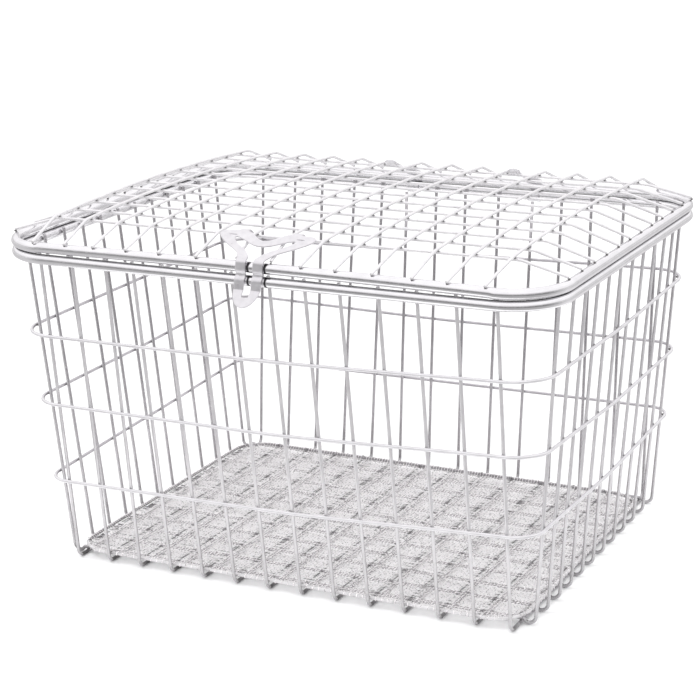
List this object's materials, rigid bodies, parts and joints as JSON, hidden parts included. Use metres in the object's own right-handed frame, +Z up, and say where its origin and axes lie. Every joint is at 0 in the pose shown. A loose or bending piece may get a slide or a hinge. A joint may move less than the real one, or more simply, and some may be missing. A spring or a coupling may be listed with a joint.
{
  "type": "wire basket",
  "caption": "Lidded wire basket for a tricycle: tapered crossed-wire walls, mesh floor, thick rod rims, domed wire lid hinged at the back and a snap clasp at the front.",
  "frame": {"origin": "on the ground, under the middle of the overall box", "axes": "+Z up, the front with the clasp faces -Y, the width runs along X"},
  "size_m": [0.5016, 0.3976, 0.3092],
  "materials": {
    "wall_wire_steel": "bright drawn stainless wire, slightly satin",
    "ring_wire_steel": "bright drawn stainless wire",
    "lid_wire_steel": "bright drawn stainless wire with small darkened welds",
    "rim_rod_steel": "polished stainless rod",
    "mesh_steel": "fine woven stainless wire cloth",
    "hinge_sheet_steel": "bright stainless wire and stamped sheet",
    "clasp_sheet_steel": "stamped stainless sheet, satin"
  },
  "bodies": {
    "basket": {"basket_rim": "rim_rod_steel", "ring_upper": "ring_wire_steel", "ring_middle": "ring_wire_steel", "ring_lower": "ring_wire_steel", "floor_frame": "ring_wire_steel", "mesh_floor": "mesh_steel", "wall_wire_fb_01": "wall_wire_steel", "wall_wire_fb_02": "wall_wire_steel", "wall_wire_fb_03": "wall_wire_steel", "wall_wire_fb_04": "wall_wire_steel", "wall_wire_fb_05": "wall_wire_steel", "wall_wire_fb_06": "wall_wire_steel", "wall_wire_fb_07": "wall_wire_steel", "wall_wire_fb_08": "wall_wire_steel", "wall_wire_fb_09": "wall_wire_steel", "wall_wire_fb_10": "wall_wire_steel", "wall_wire_fb_11": "wall_wire_steel", "wall_wire_fb_12": "wall_wire_steel", "wall_wire_fb_13": "wall_wire_steel", "wall_wire_fb_14": "wall_wire_steel", "wall_wire_lr_01": "wall_wire_steel", "wall_wire_lr_02": "wall_wire_steel", "wall_wire_lr_03": "wall_wire_steel", "wall_wire_lr_04": "wall_wire_steel", "wall_wire_lr_05": "wall_wire_steel", "wall_wire_lr_06": "wall_wire_steel", "wall_wire_lr_07": "wall_wire_steel", "wall_wire_lr_08": "wall_wire_steel", "wall_wire_lr_09": "wall_wire_steel", "wall_wire_lr_10": "wall_wire_steel", "wall_wire_lr_11": "wall_wire_steel", "wall_wire_lr_12": "wall_wire_steel"},
    "lid": {"lid_rim": "rim_rod_steel", "lid_wire_fb_01": "lid_wire_steel", "lid_wire_fb_02": "lid_wire_steel", "lid_wire_fb_03": "lid_wire_steel", "lid_wire_fb_04": "lid_wire_steel", "lid_wire_fb_05": "lid_wire_steel", "lid_wire_fb_06": "lid_wire_steel", "lid_wire_fb_07": "lid_wire_steel", "lid_wire_fb_08": "lid_wire_steel", "lid_wire_fb_09": "lid_wire_steel", "lid_wire_fb_10": "lid_wire_steel", "lid_wire_fb_11": "lid_wire_steel", "lid_wire_fb_12": "lid_wire_steel", "lid_wire_fb_13": "lid_wire_steel", "lid_wire_fb_14": "lid_wire_steel", "lid_wire_lr_01": "lid_wire_steel", "lid_wire_lr_02": "lid_wire_steel", "lid_wire_lr_03": "lid_wire_steel", "lid_wire_lr_04": "lid_wire_steel", "lid_wire_lr_05": "lid_wire_steel", "lid_wire_lr_06": "lid_wire_steel", "lid_wire_lr_07": "lid_wire_steel", "lid_wire_lr_08": "lid_wire_steel", "lid_wire_lr_09": "lid_wire_steel", "lid_wire_lr_10": "lid_wire_steel", "lid_wire_lr_11": "lid_wire_steel", "hinge_bar": "hinge_sheet_steel"},
    "clasp": {"clasp": "clasp_sheet_steel"}
  },
  "joints": [
    {"name": "lid_hinge", "type": "hinge", "parent": "basket", "child": "lid", "pos_m": [0, 0.19266, 0.2732], "axis": [-1, 0, 0], "range_deg": [0, 170]},
    {"name": "clasp_pivot", "type": "hinge", "parent": "lid", "child": "clasp", "pos_m": [0.001, -0.15029, 0.30014], "axis": [-1, 0, 0], "range_deg": [0, 60]}
  ]
}
